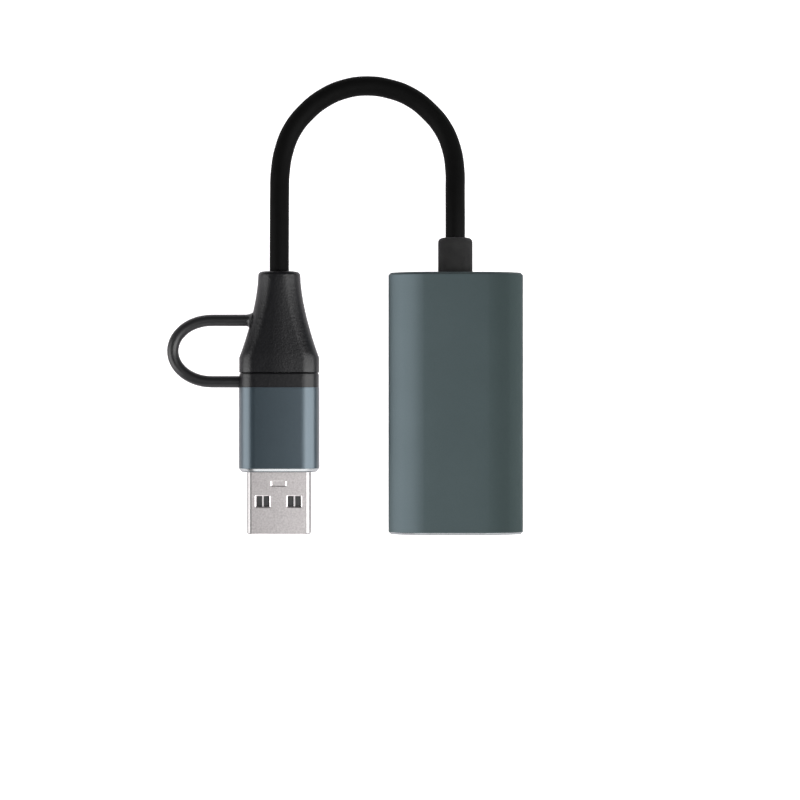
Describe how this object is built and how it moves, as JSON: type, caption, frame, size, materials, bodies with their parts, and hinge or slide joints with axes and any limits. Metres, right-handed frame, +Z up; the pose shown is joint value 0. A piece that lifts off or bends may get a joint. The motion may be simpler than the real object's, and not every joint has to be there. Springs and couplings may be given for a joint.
{
  "type": "video capture box",
  "caption": "Small aluminium video capture box with a video socket at one end and, at the other, a short cable with a reversible plug and a tethered push-on host plug adapter.",
  "frame": {"origin": "bottom centre of the aluminium box as it lies on a table", "axes": "+X to the right of the box seen from above with its cable end away from the viewer, +Y along the box from its video socket to its cable, +Z up"},
  "size_m": [0.0672, 0.0871, 0.012],
  "materials": {
    "box_aluminium": "fine blasted, grey anodised, with polished end edges",
    "sleeve_aluminium": "fine blasted, grey anodised, with a polished end chamfer",
    "plate_plastic": "fine grain",
    "housing_plastic": "satin",
    "insulator_plastic": "moulded",
    "chip_plastic": "moulded",
    "board_laminate": "lacquered",
    "capacitor_ceramic": "fired",
    "wire_insulation": "extruded",
    "cable_rubber": "smooth, slightly glossy",
    "pad_silicone": "soft",
    "coil_ferrite": "fired ferrite",
    "plated_steel": "nickel plated",
    "plug_steel": "nickel plated, satin",
    "contact_brass": "gold flash"
  },
  "bodies": {
    "capture_box": {"box_tube": "box_aluminium", "front_plate": "plate_plastic", "rear_plate": "plate_plastic", "video_socket_shell": "plated_steel", "video_socket_insulator": "insulator_plastic", "video_socket_contacts": "contact_brass", "main_board": "board_laminate", "capture_chip": "chip_plastic", "thermal_pad": "pad_silicone", "memory_chip": "chip_plastic", "clock_crystal": "plated_steel", "voltage_regulators": "chip_plastic", "power_coil": "coil_ferrite", "capacitors": "capacitor_ceramic", "board_leads": "wire_insulation", "strain_relief": "cable_rubber", "cable_ferrules": "plated_steel", "cable_ends": "cable_rubber", "cable": "cable_rubber", "plug_housing": "housing_plastic", "plug_shell": "plated_steel", "plug_insulator": "insulator_plastic", "plug_contacts": "contact_brass", "plug_latches": "plated_steel", "plug_board": "board_laminate", "plug_leads": "wire_insulation", "tether": "cable_rubber"},
    "adapter": {"adapter_collar": "housing_plastic", "adapter_sleeve": "sleeve_aluminium", "adapter_end_plug": "insulator_plastic", "adapter_socket_shell": "plated_steel", "adapter_socket_tongue": "insulator_plastic", "adapter_socket_contacts": "contact_brass", "adapter_board": "board_laminate", "adapter_resistors": "chip_plastic", "host_plug_shell": "plug_steel", "host_plug_insulator": "insulator_plastic", "host_plug_contacts": "contact_brass"}
  },
  "joints": [
    {"name": "adapter_pull", "type": "slide", "parent": "capture_box", "child": "adapter", "axis": [0, -1, 0], "range_m": [0, 0.0085], "deforming": ["tether"]}
  ]
}
